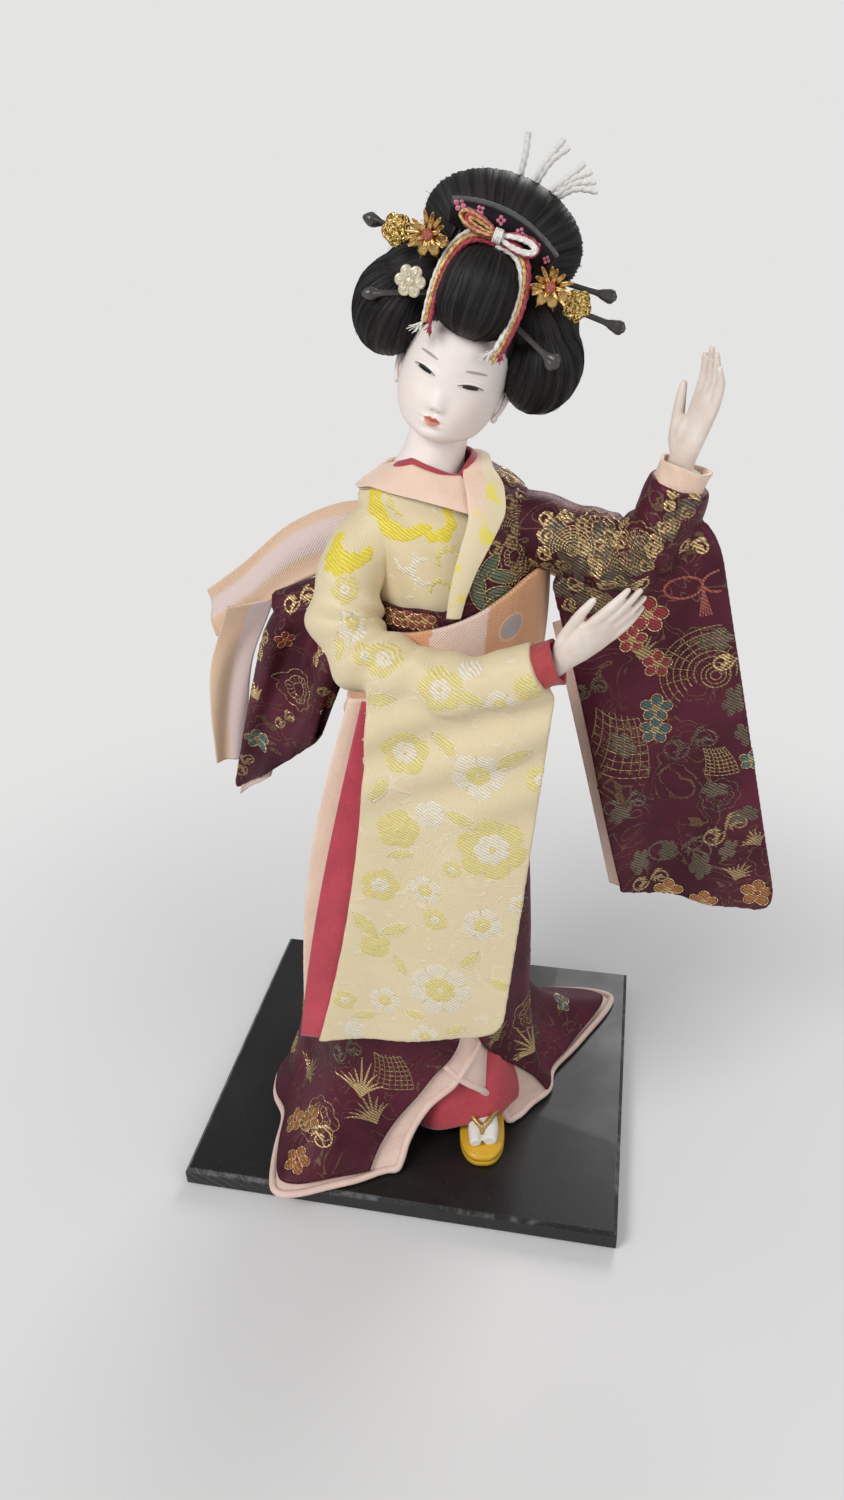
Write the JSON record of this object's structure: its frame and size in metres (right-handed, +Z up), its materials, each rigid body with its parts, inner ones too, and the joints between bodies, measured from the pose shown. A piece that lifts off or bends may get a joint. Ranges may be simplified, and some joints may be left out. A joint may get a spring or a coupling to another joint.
{
  "type": "kimono doll figurine",
  "caption": "Dressed kimono dancer doll on a black lacquered board, purple brocade kimono slipped off one shoulder over a cream one, orange obi, combed hair with pins.",
  "frame": {"origin": "middle of the board's underside", "axes": "+Z up through the doll, the doll faces -Y, +X to the doll's left"},
  "size_m": [0.194, 0.1277, 0.3193],
  "materials": {
    "black_lacquer": "gloss black lacquer with wear specks along the edges",
    "steel_wire": "plain drawn wire",
    "straw": "bound straw",
    "cotton_wadding": "wound cotton wadding",
    "shell_white": "matte white shell-powder coat",
    "hair_black": "combed black fibre",
    "dark_pin": "dark polished sticks",
    "gold_trim": "pressed gilt metal",
    "silver_paper": "silver-white foil paper",
    "red_braid": "red braid with gold and white threads",
    "white_cord": "twisted white paper cord",
    "red_silk": "fine plain weave",
    "peach_silk": "fine plain weave",
    "cream_brocade": "cream ground with raised yellow and white woven flowers",
    "purple_brocade": "purple satin ground with gold-outlined woven flowers",
    "pink_silk": "pale pink plain weave",
    "obi_weave": "orange figured weave with pale motifs",
    "white_cotton": "white cotton",
    "yellow_sandal": "yellow covered sole with a gold thong"
  },
  "bodies": {
    "figure": {"base_board": "black_lacquer", "left_leg_wire": "steel_wire", "right_leg_wire": "steel_wire", "left_sandal": "yellow_sandal", "right_sandal": "yellow_sandal", "left_foot": "white_cotton", "right_foot": "white_cotton", "body_core": "straw", "right_arm_wire": "steel_wire", "left_arm_wire": "steel_wire", "cream_bodice": "cream_brocade", "right_arm_wadding": "cotton_wadding", "purple_bodice": "purple_brocade", "left_arm_wadding": "cotton_wadding", "red_collar": "red_silk", "left_collar": "peach_silk", "right_collar": "peach_silk", "right_hand": "shell_white", "left_hand": "shell_white", "right_cuff": "red_silk", "left_cuff": "peach_silk", "right_sleeve_arm": "cream_brocade", "left_sleeve_arm": "purple_brocade", "right_sleeve_drop": "cream_brocade", "right_sleeve_red": "red_silk", "right_sleeve_peach": "peach_silk", "left_sleeve_drop": "purple_brocade", "left_sleeve_lining": "pink_silk", "red_underskirt": "red_silk", "purple_skirt": "purple_brocade", "skirt_lining": "pink_silk", "waist_sash": "pink_silk", "obi_band": "obi_weave", "obi_knot": "obi_weave", "obi_right_wing": "obi_weave", "obi_left_wing": "obi_weave", "obi_right_tail": "obi_weave", "obi_left_tail": "obi_weave", "empty_sleeve": "purple_brocade", "empty_sleeve_lining": "pink_silk"},
    "head": {"head": "shell_white", "hair_back": "hair_black", "hair_front": "hair_black", "hair_right_side": "hair_black", "hair_left_side": "hair_black", "hair_topknot": "hair_black", "hair_braid": "red_braid", "hair_bow": "red_braid", "hair_tie_one": "white_cord", "hair_tie_two": "white_cord", "hair_tie_fan": "white_cord"},
    "comb": {"comb": "black_lacquer"},
    "upper_pin_right": {"upper_pin_right": "dark_pin"},
    "upper_pin_left": {"upper_pin_left": "dark_pin"},
    "lower_pin_left": {"lower_pin_left": "dark_pin"},
    "front_pin_right": {"front_pin_right": "dark_pin"},
    "front_pin_left": {"front_pin_left": "dark_pin"},
    "gold_flower_right": {"gold_flower_right": "gold_trim"},
    "gold_flower_left": {"gold_flower_left": "gold_trim"},
    "silver_flower": {"silver_flower": "silver_paper"}
  },
  "joints": [
    {"name": "head_turn", "type": "hinge", "parent": "figure", "child": "head", "pos_m": [0.0075, -0.003, 0.24], "axis": [0.2582, 0.0181, 0.9659], "range_deg": [-15, 15]},
    {"name": "comb_pull", "type": "slide", "parent": "head", "child": "comb", "axis": [0.4474, 0.17, 0.878], "range_m": [0, 0.012]},
    {"name": "upper_right_pull", "type": "slide", "parent": "head", "child": "upper_pin_right", "axis": [-0.9443, -0.1045, 0.3121], "range_m": [0, 0.015]},
    {"name": "upper_left_pull", "type": "slide", "parent": "head", "child": "upper_pin_left", "axis": [0.9609, 0.0256, -0.2758], "range_m": [0, 0.015]},
    {"name": "lower_left_pull", "type": "slide", "parent": "head", "child": "lower_pin_left", "axis": [0.9373, -0.0657, -0.3424], "range_m": [0, 0.015]},
    {"name": "front_right_pull", "type": "slide", "parent": "head", "child": "front_pin_right", "axis": [-0.9698, -0.2435, 0.0111], "range_m": [0, 0.012]},
    {"name": "front_left_pull", "type": "slide", "parent": "head", "child": "front_pin_left", "axis": [0.7542, -0.1895, -0.6287], "range_m": [0, 0.012]},
    {"name": "gold_right_pull", "type": "slide", "parent": "head", "child": "gold_flower_right", "axis": [0.0698, -0.9976, 0], "range_m": [0, 0.01]},
    {"name": "gold_left_pull", "type": "slide", "parent": "head", "child": "gold_flower_left", "axis": [0.0698, -0.9976, 0], "range_m": [0, 0.01]},
    {"name": "silver_pull", "type": "slide", "parent": "head", "child": "silver_flower", "axis": [0.0698, -0.9976, 0], "range_m": [0, 0.01]}
  ]
}
